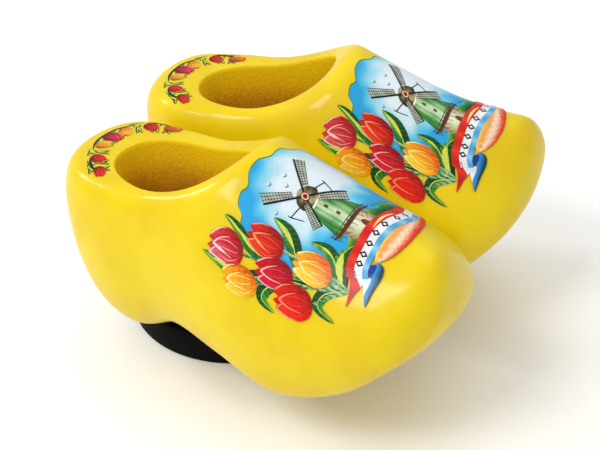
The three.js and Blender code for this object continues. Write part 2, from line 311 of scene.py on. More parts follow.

# The same lacquer on the tool marks of the hollow: thin and dull, with painted shade that makes it darker
# and browner towards the floor.
rough_hollow, tree, shader = new_material(
    "thin lacquer on cut poplar", Roughness=0.65, Specular_IOR_Level=0.2)
place = add_node(tree, "TexCoord").outputs["Object"]
height = add_node(tree, "SeparateXYZ", Vector=place).outputs["Z"]
# Painted shade: the colour darkens with depth in the hollow, mottled by the wood's grain.
depth = add_node(tree, "MapRange", Value=height, From_Min=FLOOR_HEIGHT, From_Max=MOUTH_HEIGHT)
fibre = add_node(tree, "TexNoise", Vector=place, Scale=1 / WOOD_GRAIN, Detail=5.0, Roughness=0.65)
grain_and_shade = add_node(tree, "Math", {"operation": "MULTIPLY_ADD"}, i0=fibre.outputs["Fac"], i1=0.4,
                   i2=depth.outputs[0])
shade = add_node(tree, "Math", {"operation": "SUBTRACT"}, i0=grain_and_shade.outputs[0], i1=0.2)
stops = list(zip((0.05, 0.35, 0.6, 0.9), HOLLOW_SHADE_RAMP))
tree.links.new(ramp(tree, shade.outputs[0], stops), shader.inputs["Base Color"])
marks = add_node(tree, "Bump", Height=fibre.outputs["Fac"], Distance=0.14 * MM, Strength=0.8)
tree.links.new(marks.outputs[0], shader.inputs["Normal"])

clogs = {}
for side, hand in ((-1, "right"), (1, "left")):
    clogs[side] = carve_clog(side, "carved_clog_" + hand)
    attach(clogs[side], "root")
    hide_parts("clog_" + hand)

# ---- The adhesive ----------------------------------------------------------------------------
# A pool of hot-melt adhesive under each heel, pressed flat on the magnet and moulded by the sole
# above it. It has set amber and satin, and bulges a little round its edge.
ADHESIVE_LENGTH = 9.0
ADHESIVE_WIDTH = 7.0
ADHESIVE_BULGE = 0.6
ADHESIVE_HEIGHT = 2.35
ADHESIVE_TAPER = 0.12
AMBER_ADHESIVE, PALE_ADHESIVE = "#a98c48", "#c9b377"
ADHESIVE_CLOUD = 1.5 * MM

hot_melt, tree, shader = new_material("set hot-melt adhesive", Roughness=0.4, Subsurface_Weight=0.15)
shader.inputs["Subsurface Scale"].default_value = 1.0 * MM
place = add_node(tree, "TexCoord").outputs["Object"]
cloud = add_node(tree, "TexNoise", Vector=place, Scale=1 / ADHESIVE_CLOUD, Detail=2.0).outputs["Fac"]
tint = ramp(tree, cloud, [(0.35, AMBER_ADHESIVE), (0.7, PALE_ADHESIVE)])
tree.links.new(tint, shader.inputs["Base Color"])
ripple = add_node(tree, "Bump", Height=cloud, Distance=0.15 * MM, Strength=0.4)
tree.links.new(ripple.outputs[0], shader.inputs["Normal"])

for side, hand in ((-1, "right"), (1, "left")):
    low, high = (Vector(corner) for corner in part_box("adhesive_" + hand))
    sole = BVHTree.FromObject(clogs[side], bpy.context.evaluated_depsgraph_get())
    pool = bmesh.new()
    bmesh.ops.create_uvsphere(pool, u_segments=72, v_segments=48, radius=1.0)
    for vertex in pool.verts:
        ball = vertex.co.copy()
        reach = (1 - abs(ball.z) ** 3) ** 0.5
        spread = reach / max(Vector(ball.xy).length, 1e-6) * (1 - ADHESIVE_TAPER * max(ball.z, 0))
        vertex.co.x = (low.x + high.x) / 2 + ball.x * spread * (ADHESIVE_WIDTH / 2) * MM
        vertex.co.y = (low.y + high.y) / 2 + ball.y * spread * (ADHESIVE_LENGTH / 2) * MM
        height = min((ball.z + ADHESIVE_BULGE) / (1 + ADHESIVE_BULGE), 1)
        vertex.co.z = low.z + max(height, 0) * ADHESIVE_HEIGHT * MM
        met = sole.ray_cast(Vector((vertex.co.x, vertex.co.y, disc_low.z)), Vector((0, 0, 1)))[0]
        if met:
            vertex.co.z = min(vertex.co.z, met.z)
    adhesive = finished_piece("adhesive_pool_" + hand, pool, hot_melt)
    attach(adhesive, "root")
    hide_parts("adhesive_" + hand)

# ---- The instep transfers --------------------------------------------------------------------
# A water-slide transfer on each instep, printed in gloss inks: a windmill under a clouded sky,
# a bunch of tulips and a three-coloured ribbon. Both clogs take the same print, the same way round.
# The picture is drawn flat, in millimetres from a point by the mill's hub: a to the right, b to the
# heel. PRINT_HUB says where that point lies, as a length from the heel and an angle round the clog.
PRINT_HUB = {-1: (32.4, radians(70)), 1: (32.8, radians(108))}
PRINT_TURN = {-1: 0, 1: radians(-8.5)}
PRINT_ROWS = np.linspace(0.3, 0.98, 120)
PRINT_ANGLES = np.linspace(0, pi, 241)
INK_LIFT = 0.007             # from each layer of ink to the next
INK_CELL = 0.25
INK_DOT = 0.16 * MM
INK_STRENGTH = (0.79, 0.91)
SKY_DEEP, SKY_BLUE, SKY_PALE, SKY_WHITE = "#2aa7e0", "#5cc4ea", "#a9dff0", "#e2f0f6"
LEAF_DARK, LEAF_GREEN, LEAF_LIGHT, LEAF_PALE = "#0d4a20", "#2c8a2b", "#a6cb2a", "#d9e35a"
RED, RED_BRIGHT = "#d9151b", "#f03a1c"
ORANGE, AMBER, CREAM = "#ee7a14", "#f8a81a", "#fff0c9"
BLACK, BROWN, NAVY = "#14181a", "#6a4028", "#124c9e"
BIRD_GREY = "#5d6f86"
RIBBON_MARKS = 7


def tone(hex_colour):
    return np.array(linear(hex_colour)[:3])


def blend_tones(stops, at):
    """The colour at each place along evenly spaced hex colours."""
    at = np.clip(at, 0, 1)
    places = np.linspace(0, 1, len(stops))
    tones = np.array([tone(stop) for stop in stops])
    return np.stack([np.interp(at, places, tones[:, i]) for i in range(3)], axis=-1)


def through(points, steps=7, closed=True):
    """A smooth outline through a few points."""
    p = np.array(points, float)
    before, after, beyond = np.roll(p, 1, 0), np.roll(p, -1, 0), np.roll(p, -2, 0)
    if not closed:
        before[0], after[-1], beyond[-1], beyond[-2] = p[0], p[-1], p[-1], p[-1]
    t = np.linspace(0, 1, steps, endpoint=False)[None, :, None]
    curve = 0.5 * (2 * p[:, None] + (after - before)[:, None] * t
                   + (2 * before - 5 * p + 4 * after - beyond)[:, None] * t ** 2
                   + (3 * p - before - 3 * after + beyond)[:, None] * t ** 3)
    if not closed:
        return np.vstack([curve[:-1].reshape(-1, 2), p[-1:]])
    return curve.reshape(-1, 2)


def band(centre, low, high):
    """The strip beside a centre line, between two offsets; an offset may change along it."""
    centre = np.asarray(centre, float)
    along = np.gradient(centre, axis=0)
    along /= np.linalg.norm(along, axis=1)[:, None]
    side = np.stack([-along[:, 1], along[:, 0]], axis=-1)
    low, high = (np.broadcast_to(offset, len(centre))[:, None] for offset in (low, high))
    return np.vstack([centre + side * low, (centre + side * high)[::-1]])


class Picture:
    """Flat shapes, each on a layer of ink. Its paint is one colour or a function of place."""

    def __init__(self):
        self.shapes = []

    def ink(self, outline, layer, paint):
        if isinstance(paint, str):
            flat = tone(paint)
            paint = lambda p: np.broadcast_to(flat, (len(p), 3))
        self.shapes.append((np.asarray(outline, float), layer, paint))

    def stroke(self, points, widths, layer, paint, steps=6):
        """A brush stroke through points, whose width changes evenly through widths."""
        line = through(points, steps, closed=False)
        half = np.interp(np.linspace(0, 1, len(line)), np.linspace(0, 1, len(widths)), widths) / 2
        self.ink(band(line, -half, half), layer, paint)


def leaf(picture, points, width, layer, light, dark):
    """A blade from its root to its tip, with a lit half, a shaded half and a pale rib."""
    line = through(points, 8, closed=False)
    t = np.linspace(0, 1, len(line))
    half = width / 2 * np.sin(pi * np.clip(t * 0.9 + 0.1, 0, 1)) ** 0.8

    def shaded(p):
        offset = p[:, None] - line[None]
        nearest = np.argmin((offset ** 2).sum(-1), axis=1)
        streak = 0.18 * np.sin(p[:, 0] * 11 + p[:, 1] * 7)
        return blend_tones(dark, 0.2 + 0.5 * t[nearest] + streak)

    def lit(p):
        nearest = np.argmin(((p[:, None] - line[None]) ** 2).sum(-1), axis=1)
        streak = 0.2 * np.sin(p[:, 0] * 9 - p[:, 1] * 8)
        return blend_tones(light, 0.05 + 0.7 * t[nearest] + streak)

    picture.ink(band(line, -half, 0 * half), layer, shaded)
    picture.ink(band(line, 0 * half, half), layer, lit)
    picture.stroke(points, [0.1, 0.09, 0.03], layer + 1, LEAF_PALE, steps=8)


# A tulip's petals in its own frame: the base is at 0, 0 and the tips are about 1 above it.
BACK_PETAL = [(-0.1, 0.5), (-0.24, 0.8), (-0.06, 1.04), (0.06, 0.9), (0.2, 1.0), (0.3, 0.78),
              (0.15, 0.5)]
LEFT_PETAL = [(0.02, 0.0), (-0.33, 0.06), (-0.53, 0.34), (-0.48, 0.68), (-0.28, 1.0), (-0.1, 0.8),
              (0.0, 0.4)]
RIGHT_PETAL = [(0.0, 0.0), (0.35, 0.08), (0.51, 0.38), (0.46, 0.68), (0.27, 0.96), (0.1, 0.74),
               (0.03, 0.4)]
FRONT_PETAL = [(0.0, -0.02), (-0.25, 0.06), (-0.31, 0.38), (-0.18, 0.68), (0.0, 0.88), (0.17, 0.66),
               (0.28, 0.36), (0.23, 0.07)]


def tulip(picture, base, height, width, lean, layer, body, edge):
    """A tulip head; body runs from the shaded base to the lit tip and edge lights the petals' rims."""
    turn = np.array([[cos(lean), -sin(lean)], [sin(lean), cos(lean)]])
    size = np.array([width, height])

    def laid(points):
        return (np.asarray(points, float) * size) @ turn.T + base

    def petal(lit_from, dim):
        def paint(p):
            own = ((p - base) @ turn) / size
            streak = 0.1 * np.sin(own[:, 0] * 34 + own[:, 1] * 5)
            streak += 0.06 * np.sin(own[:, 0] * 71 - own[:, 1] * 9)
            light = 0.12 + 0.62 * own[:, 1] + 0.5 * lit_from * own[:, 0] - dim
            return blend_tones(body, light + streak)
        return paint

    picture.ink(laid(through(BACK_PETAL)), layer, petal(0.2, 0.3))
    picture.ink(laid(through(RIGHT_PETAL)), layer + 1, petal(-0.3, 0.14))
    picture.ink(laid(through(LEFT_PETAL)), layer + 2, petal(-0.7, 0.0))
    picture.ink(laid(through(FRONT_PETAL)), layer + 3, petal(-0.5, 0.02))
    rim = 0.04 * height
    for line, widths in (
            ([(-0.3, 0.3), (-0.19, 0.66), (0.0, 0.87)], [0.2, 0.9, 1.3]),
            ([(0.0, 0.87), (0.16, 0.66), (0.27, 0.38)], [1.3, 0.8, 0.1]),
            ([(-0.51, 0.45), (-0.47, 0.7), (-0.28, 0.98)], [0.1, 0.8, 1.1]),
            ([(-0.28, 0.98), (-0.17, 0.86), (-0.11, 0.77)], [1.1, 0.8, 0.3]),
            ([(0.48, 0.5), (0.44, 0.7), (0.27, 0.94)], [0.1, 0.7, 1.0])):
        picture.stroke(laid(line), [w * rim for w in widths], layer + 4, edge)
    for fold in (-0.38, -0.1, 0.12):
        picture.stroke(laid([(fold * 0.6, 0.12), (fold * 1.1, 0.42), (fold * 0.8, 0.7)]),
                       [0.2 * rim, 0.7 * rim, 0.1 * rim], layer + 4, body[-1])


def draw_sky(picture):
    """The scalloped sky, white in the middle and blue round its edge, with four birds."""
    top = [(-6.2, 3.2), (-5.8, 4.6), (-4.9, 4.8), (-4.2, 5.4), (-2.9, 5.5), (-2.0, 5.1), (-0.6, 5.5),
           (0.9, 5.3), (2.1, 4.5), (3.4, 4.4), (4.6, 3.7), (5.9, 3.6), (6.9, 2.7), (7.3, 1.4)]
    foot = [(8.2, -0.6), (8.0, -3.4), (8.6, -5.8), (6.5, -7.0), (2.0, -6.8), (-4.0, -6.8), (-6.4, -5.0),
            (-6.9, 0.0)]

    def paint(p):
        out = np.hypot((p[:, 0] - 2.0) / 8.2, (p[:, 1] - 0.1) / 5.5)
        cloud = 0.06 * np.sin(p[:, 0] * 2.1 + 1.3 * np.sin(p[:, 1] * 1.7))
        cloud += 0.03 * np.sin(p[:, 1] * 4 + p[:, 0])
        low = np.clip((-1.5 - p[:, 1]) / 5, 0, 0.2)
        return blend_tones([SKY_WHITE, SKY_WHITE, SKY_PALE, SKY_BLUE, SKY_DEEP], out ** 2 + cloud + low)

    outline = through(top + foot)
    picture.ink(outline + np.array([0.06, 0.1]), 0, "#2f7d4a")
    picture.ink(outline, 1, paint)
    for a, b in ((-0.55, 3.3), (1.15, 2.45), (0.3, 1.85), (-2.7, 1.75)):
        left_wing = [(a - 0.3, b + 0.14), (a - 0.12, b + 0.08), (a, b - 0.05)]
        right_wing = [(a, b - 0.05), (a + 0.12, b + 0.06), (a + 0.26, b + 0.16)]
        picture.stroke(left_wing, [0.03, 0.11, 0.1], 2, BIRD_GREY)
        picture.stroke(right_wing, [0.1, 0.09, 0.02], 2, BIRD_GREY)


def draw_mill(picture):
    """A tower mill on green hills, with its gallery, tail poles and four sails."""
    hub = np.array([0.3, 0.05])
    for span, low, high in (((-2.1, 3.2), -5.5, -4.9), ((3.0, 8.2), -6.2, -5.2)):
        hill = through([(span[0] - 0.9, -6.7), (span[0], low), (sum(span) / 2, high), (span[1], low),
                        (span[1] + 0.6, -6.9)])
        picture.ink(hill, 2, lambda p: blend_tones([LEAF_DARK, LEAF_GREEN, LEAF_LIGHT],
                                                   1.1 + (p[:, 1] + 4.9) * 0.8))
    picture.stroke([(3.3, -5.1), (5.0, -5.3), (6.8, -5.0)], [0.15, 0.5, 0.1], 2, "#3f8f7a")

    def tower(p):
        across = (p[:, 0] - hub[0]) / (1.2 - 0.32 * (p[:, 1] + 1))
        grain = 0.08 * np.sin(p[:, 0] * 17) + 0.05 * np.sin(p[:, 1] * 23)
        return blend_tones(["#123d20", "#2f7f37", "#5ba552", "#dcecc8", "#8cc27a", "#2f7f37", "#14402a"],
                           0.5 + 0.42 * across + grain)

    def stone_foot(p):
        blocks = 0.09 * np.sin(p[:, 1] * 15) * np.sin(p[:, 0] * 9)
        return blend_tones(["#8f6a3c", "#c9cc98", "#eef0cf", "#d6d5a8", "#8a6b40"],
                           (p[:, 0] + 1) / 3.4 + blocks)

    picture.ink([(-0.85, -0.9), (1.45, -0.9), (2.75, -4.6), (-1.75, -4.6)], 3, tower)
    picture.ink([(-1.0, -4.4), (2.3, -4.4), (2.5, -6.7), (-0.95, -6.7)], 3, stone_foot)
    for a, b in ((0.55, -2.0), (0.62, -3.25)):
        window = [(a - 0.17, b - 0.2), (a + 0.17, b - 0.2), (a + 0.15, b + 0.2), (a - 0.15, b + 0.2)]
        picture.ink(window, 4, BROWN)
    door = [(0.95, -6.6), (0.95, -5.7), (1.2, -5.35), (1.5, -5.7), (1.5, -6.6)]
    picture.ink(through(door), 4, "#7a3426")
    rail = [(-2.1, -4.0), (-1.2, -4.35), (0.4, -4.55), (2.0, -4.7), (3.1, -5.0)]
    picture.stroke(rail, [0.08, 0.34, 0.46, 0.36, 0.1], 5, "#5a3323")
    picture.stroke([(a, b + 0.38) for a, b in rail], [0.06, 0.1, 0.1, 0.1, 0.06], 5, "#6e4632")
    for post in range(9):
        a = -1.9 + post * 0.58
        b = np.interp(a, [p[0] for p in rail], [p[1] for p in rail])
        picture.stroke([(a, b), (a, b + 0.4)], [0.08, 0.08], 6, "#3b241b", steps=3)
        picture.stroke([(a, b - 0.1), (a + 0.12, b - 0.75)], [0.07, 0.05], 4, "#4a3024", steps=3)

    def cap(p):
        return blend_tones(["#2c2a1a", "#57502c", "#b7b48a", "#6b6a35", "#3a2d1c"],
                           0.5 + 0.4 * (p[:, 0] - hub[0]) + 0.1 * np.sin(p[:, 1] * 9))

    picture.ink(through([(-1.0, -0.55), (-0.95, 0.2), (-0.5, 0.62), (0.3, 0.85), (1.05, 0.6), (1.5, 0.15),
                         (1.6, -0.6), (0.3, -1.05)]), 4, cap)
    picture.stroke([(-0.9, -0.95), (0.3, -1.1), (1.5, -0.95)], [0.16, 0.2, 0.16], 5, CREAM)
    for end, kink in (((-2.35, 0.45), (-2.0, -0.8)), ((2.75, -0.75), (2.2, -2.1))):
        picture.stroke([hub + (0.7 if end[0] > 0 else -0.7, -0.2), end], [0.12, 0.1], 4, BLACK, steps=4)
        brace = [(end[0] + 0.05, end[1] + 0.3), (end[0], end[1]), kink]
        picture.stroke(brace, [0.08, 0.12, 0.08], 4, BLACK)

    # Each sail's cloth starts a quarter of the way out and widens towards its tip.
    cloth_start, inner_width, outer_width = 0.26, 0.62, 1.0
    for tip in ((-2.95, 3.2), (3.0, 2.8), (2.95, -2.75), (-1.8, -2.55)):
        spar = np.array(tip)
        side = np.array([spar[1], -spar[0]]) / np.hypot(*spar)
        inner = hub + spar * cloth_start
        corners = [inner, hub + spar * 0.99, hub + spar * 0.99 + side * outer_width,
                   inner + side * inner_width]
        picture.ink(corners, 5, lambda p: blend_tones(["#cfd3c4", "#a9b0a0"],
                                                      0.5 + 0.4 * np.sin(p[:, 0] * 6)))
        for bar in np.linspace(0.3, 0.97, 11):
            width = np.interp(bar, [cloth_start, 1], [inner_width, outer_width])
            lath = [hub + spar * bar, hub + spar * bar + side * width]
            picture.stroke(lath, [0.07, 0.05], 6, "#39403a", steps=3)
        for share in (0.34, 0.67, 1.0):
            rod = [inner + side * inner_width * share, hub + spar + side * outer_width * share]
            picture.stroke(rod, [0.06, 0.06], 6, "#2c322d", steps=5)
        picture.stroke([hub, hub + spar], [0.2, 0.18], 7, BLACK, steps=6)
    turn = np.linspace(0, 2 * pi, 20, endpoint=False)
    ring = np.stack([np.cos(turn), np.sin(turn)], axis=-1)
    for radius, layer, colour in (
            (0.46, 8, "#5c2a1a"), (0.36, 9, "#f2d8b4"), (0.25, 10, "#c5281c"), (0.12, 11, BLACK)):
        picture.ink(hub + radius * ring, layer, colour)


def draw_tulips(picture):
    """Leaves, then stems from one root to six heads. A head gives what tulip() asks for."""
    root = (-6.0, -7.0)
    greens, shades = [LEAF_DARK, LEAF_GREEN, LEAF_LIGHT], ["#052a16", LEAF_DARK, LEAF_GREEN]
    for points, width in (
            ([(-7.6, -3.0), (-8.6, 0.5), (-10.4, 3.6), (-10.6, 6.0), (-9.4, 8.3)], 1.3),
            ([(-7.4, 1.2), (-7.2, 3.4), (-6.2, 4.9), (-5.6, 6.5)], 1.3),
            ([(-6.4, -1.5), (-5.0, -0.8), (-3.7, 0.3), (-3.2, 1.9)], 1.7),
            ([(-5.8, -6.0), (-4.2, -5.0), (-3.3, -3.8), (-3.5, -2.1)], 1.4),
            ([(-6.2, -6.6), (-7.4, -4.9), (-8.9, -4.6), (-9.5, -6.6)], 1.25),
            ([(-5.9, -6.8), (-4.9, -5.4), (-3.4, -5.1), (-1.6, -5.9)], 0.95),
            ([(-8.8, -0.6), (-10.0, 0.9), (-11.3, 1.2), (-11.9, -0.3)], 1.3)):
        leaf(picture, points, width, 7, greens, shades)
    heads = (
        ((-10.1, 2.1), 3.9, 2.8, 0.45, 9,
         ["#c8480f", "#f08a12", "#f8b018", "#ffd030", "#ffe65a"], "#ffea90"),
        ((-8.3, 3.95), 3.7, 3.4, 0.1, 9,
         ["#8d1420", "#c81c24", "#d93f48", "#e3606a", "#f0a8a8"], "#f9d8d8"),
        ((-5.7, 0.2), 3.6, 3.1, 0.03, 13,
         ["#7d0a0c", "#c2120e", "#e02610", "#e83614", "#f2602a"], "#f89a62"),
        ((-7.6, -1.4), 3.9, 2.9, 0.32, 15,
         ["#7d0812", "#b40c1a", "#d41422", "#dc1a2e", "#e23a50"], "#f2b2bc"),
        ((-9.0, -3.95), 4.1, 3.2, 0.35, 19,
         ["#8d0a0c", "#cc140e", "#e62012", "#ee2c16", RED_BRIGHT], "#f28c68"),
        ((-5.5, -5.0), 3.9, 3.1, 0.12, 18,
         ["#d9480f", "#f08a12", "#f8b41c", "#ffd42e", "#ffe95c"], "#ffee90"))

    def stem(p):
        return blend_tones([LEAF_DARK, LEAF_GREEN, "#cfe6c0", LEAF_GREEN], 0.5 + 0.5 * np.sin(p[:, 0] * 13))

    for base in (head[0] for head in heads):
        bend = ((root[0] + base[0]) / 2 + 0.15, (root[1] + base[1]) / 2)
        picture.stroke([root, bend, base], [0.42, 0.36, 0.3], 8, stem)
    for head in heads:
        tulip(picture, np.array(head[0]), *head[1:])


def draw_ribbon(picture):
    """A ribbon of three colours with folded ends and plain marks, and the speckled field beyond it."""
    line = through([(-4.3, -7.55), (-3.4, -7.2), (-2.4, -7.15), (-1.0, -7.2), (0.5, -7.25), (2.0, -7.5),
                    (3.6, -7.85), (5.4, -7.75), (7.4, -6.9)], 8, closed=False)

    def folds(low, high):
        return lambda p: blend_tones([low, high, low], 0.5 + 0.5 * np.sin(p[:, 0] * 1.5 + 1.2))

    top = np.array([(-1.95, -8.5), (-0.8, -8.1), (0.4, -8.2), (1.6, -8.45), (2.8, -8.7), (4.4, -8.5),
                    (6.2, -7.9), (8.0, -7.2)])
    foot = np.array([(-1.9, -8.8), (-1.3, -9.4), (-0.4, -10.0), (0.8, -10.4), (2.0, -10.6),
                     (3.6, -10.4), (5.2, -9.9), (6.8, -9.2), (8.4, -8.2)])

    def speckled(p):
        upper, lower = (np.interp(p[:, 0], edge[:, 0], edge[:, 1]) for edge in (top, foot))
        down = (upper - p[:, 1]) / (upper - lower + 0.1)
        dots = np.sin(p[:, 0] * 13) * np.sin(p[:, 1] * 15 + p[:, 0] * 5)
        middle = np.exp(-((down - 0.5) / 0.3) ** 2)
        shade = down + 0.05 * (p[:, 0] - 1) + 0.13 * dots * middle
        return blend_tones(["#f8dc74", "#f3a33c", "#f1a55c", "#fbead0", "#f6c79c", "#ea4c2c", "#dc2c1a"],
                           shade)

    picture.ink(through(np.vstack([top, foot[::-1]]), 4), 22, speckled)
    red_end = [(-7.4, -7.3), (-6.0, -7.2), (-5.0, -6.9), (-4.1, -6.4), (-3.8, -7.1), (-4.4, -7.5),
               (-5.0, -8.05), (-5.9, -7.75)]
    white_end = [(-4.4, -7.4), (-3.5, -7.6), (-3.0, -8.0), (-3.8, -8.2), (-3.7, -8.8), (-4.6, -8.85),
                 (-5.5, -8.7), (-4.7, -8.25), (-5.0, -8.0)]
    blue_end = [(-6.4, -9.1), (-5.4, -8.7), (-4.3, -8.85), (-3.4, -8.85), (-3.9, -8.45), (-3.85, -8.1),
                (-3.1, -7.9), (-2.4, -8.4), (-1.95, -9.0), (-2.3, -9.5), (-3.2, -9.6), (-4.75, -9.3)]
    blue_fold = [(-3.85, -8.4), (-3.1, -7.95), (-2.45, -8.4), (-2.3, -8.85), (-3.2, -8.8)]
    picture.ink(through(red_end), 25, folds("#c01a16", "#e8331f"))
    picture.ink(through(white_end), 23, folds("#d9e6ee", "#ffffff"))
    picture.ink(through(blue_end), 24, lambda p: blend_tones(["#0f4a6a", "#2f7fc8", "#4a9ad8", NAVY],
                                                             0.5 + 0.9 * (p[:, 1] + 8.9)))
    picture.ink(through(blue_fold), 25, "#173f92")
    picture.stroke([(-6.5, -9.12), (-4.75, -9.32), (-3.2, -9.62), (-2.25, -9.5), (-1.95, -9.0)],
                   [0.06, 0.2, 0.24, 0.2, 0.06], 26, "#0f4440")
    picture.ink(band(line, 0.3, 1.22), 24, folds("#cf2018", "#ee3c26"))
    picture.ink(band(line, -0.5, 0.36), 25, folds("#e4ebf0", "#ffffff"))
    picture.ink(band(line, -1.05, -0.46), 26, folds("#4aa3d6", "#93d0ec"))
    picture.stroke([(1.0, -6.75), (2.4, -6.85), (4.0, -7.3)], [0.05, 0.3, 0.05], 26, "#f9d98a")
    for place in np.linspace(0.2, 0.86, RIBBON_MARKS) * (len(line) - 1):
        a, b = line[int(place)]
        picture.ink([(a - 0.36, b), (a, b - 0.46), (a + 0.36, b), (a, b + 0.46)], 27, BLACK)
        picture.ink([(a - 0.15, b), (a, b - 0.2), (a + 0.15, b), (a, b + 0.2)], 28, "#f7f3ea")


def lifted(station, angle, lift):
    """Points of the carved surface, raised along its normals."""
    step = 1e-4
    along = carved_points(station + step, angle) - carved_points(station - step, angle)
    around = carved_points(station, angle + step) - carved_points(station, angle - step)
    normal = np.cross(around, along)
    normal /= np.linalg.norm(normal, axis=-1)[:, None]
    return carved_points(station, angle) + normal * np.asarray(lift)[:, None]


def wrap_print(side, flat, lift):
    """Bends the flat picture round the instep: a is measured round the clog, b along it."""
    hub_length, hub_angle = PRINT_HUB[side]
    rows, angles = PRINT_ROWS, PRINT_ANGLES
    grid = carved_points(rows[:, None], angles[None, :])
    steps = np.linalg.norm(np.diff(grid, axis=1), axis=2)
    arcs = np.concatenate([np.zeros((len(rows), 1)), np.cumsum(steps, axis=1)], axis=1)
    arcs -= np.array([np.interp(hub_angle, angles, row) for row in arcs])[:, None]
    turn = PRINT_TURN[side]
    a = flat[:, 0] * cos(turn) - flat[:, 1] * sin(turn)
    b = flat[:, 0] * sin(turn) + flat[:, 1] * cos(turn)
    station = station_at(hub_length - b)
    at = np.clip((station - rows[0]) / (rows[1] - rows[0]), 0, len(rows) - 1.001)
    row, mix = at.astype(int), at % 1
    angle = np.array([np.interp(-side * run, (1 - m) * arcs[r] + m * arcs[r + 1], angles)
                      for run, r, m in zip(a, row, mix)])
    return stand(side, lifted(station, angle, lift))


def print_film(picture, name, side, wrap):
    """Cuts the picture's shapes into small cells, colours them and lays them on the clog."""
    film = bmesh.new()
    which = film.faces.layers.int.new("shape")
    for index, (outline, layer, _) in enumerate(picture.shapes):
        face = film.faces.new([film.verts.new((a, b, layer)) for a, b in outline])
        face[which] = index
    bmesh.ops.triangulate(film, faces=film.faces)
    flat = np.array([v.co for v in film.verts])
    for axis in (0, 1):
        for cut in np.arange(flat[:, axis].min(), flat[:, axis].max(), INK_CELL):
            spot, normal = [0, 0, 0], [0, 0, 0]
            spot[axis], normal[axis] = cut, 1
            parts = film.verts[:] + film.edges[:] + film.faces[:]
            bmesh.ops.bisect_plane(film, geom=parts, dist=1e-5, plane_co=spot, plane_no=normal)
    flat = np.array([v.co for v in film.verts])
    colours = np.ones((len(flat), 4))
    shape_of = np.zeros(len(flat), int)
    for face in film.faces:
        for vertex in face.verts:
            shape_of[vertex.index] = face[which]
    for index, (_, _, paint) in enumerate(picture.shapes):
        own = np.nonzero(shape_of == index)[0]
        if len(own):
            colours[own, :3] = paint(flat[own, :2])
    for vertex, point in zip(film.verts, wrap(side, flat[:, :2], (flat[:, 2] + 1) * INK_LIFT)):
        vertex.co = point
    middle = sum((v.co for v in film.verts), Vector()) / len(film.verts)
    inside = Vector(stand(side, np.array([0.0, 0.0, 8.0])))     # a point within the clog
    if sum(f.normal.dot(middle - inside) * f.calc_area() for f in film.faces) < 0:
        bmesh.ops.reverse_faces(film, faces=film.faces)
    piece = finished_piece(name, film, gloss_ink)
    piece.data.attributes.new("ink", "FLOAT_COLOR", "POINT")
    piece.data.attributes["ink"].data.foreach_set("color", colours.ravel())
    return piece


# Gloss transfer ink: opaque colour with the fine speckle of a printing screen, and a clear gloss.
gloss_ink, tree, shader = new_material(
    "gloss transfer ink", Roughness=0.45, Coat_Weight=0.16, Coat_Roughness=0.12, Specular_IOR_Level=0.1)
colour = add_node(tree, "Attribute", {"attribute_name": "ink"}).outputs["Color"]
place = add_node(tree, "TexCoord").outputs["Object"]
dots = add_node(tree, "TexNoise", Vector=place, Scale=1 / INK_DOT, Detail=2.0).outputs["Fac"]
strength = add_node(tree, "MapRange", Value=dots, From_Min=0.3, From_Max=0.7,
                    To_Min=INK_STRENGTH[0], To_Max=INK_STRENGTH[1])
speckle = add_node(tree, "VectorMath", {"operation": "SCALE"}, i0=colour, Scale=strength.outputs[0])
tree.links.new(speckle.outputs[0], shader.inputs["Base Color"])

instep_picture = Picture()
draw_sky(instep_picture)
draw_mill(instep_picture)
draw_tulips(instep_picture)
draw_ribbon(instep_picture)
for side, hand in ((-1, "right"), (1, "left")):
    film = print_film(instep_picture, "instep_print_" + hand, side, wrap_print)
    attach(film, "root")
    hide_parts("vamp_transfer_" + hand)

# ---- The heel garlands -----------------------------------------------------------------------
# A narrow transfer in the same inks on each collar: tulips end to end among dark leaves, round the
# back of the opening. It is drawn flat, a along its middle line and b towards the heel. The line on
# each collar is given by its places across the clog and along it from the heel.
GARLAND_HALF = 8.3
GARLAND_LINE = {
    -1: [(-7.2, 8.7), (-4.4, 5.8), (-2.4, 4.6), (0, 4.3), (2.3, 5), (4, 6.8), (5.2, 9.5)],
    1: [(-4.9, 7), (-2.5, 4.9), (-0.5, 4.1), (2.3, 4.3), (4.5, 5.5), (5.9, 7.6), (6.4, 10.8)]}
GARLAND_DARK, GARLAND_GREEN = "#16330f", "#4d8a24"


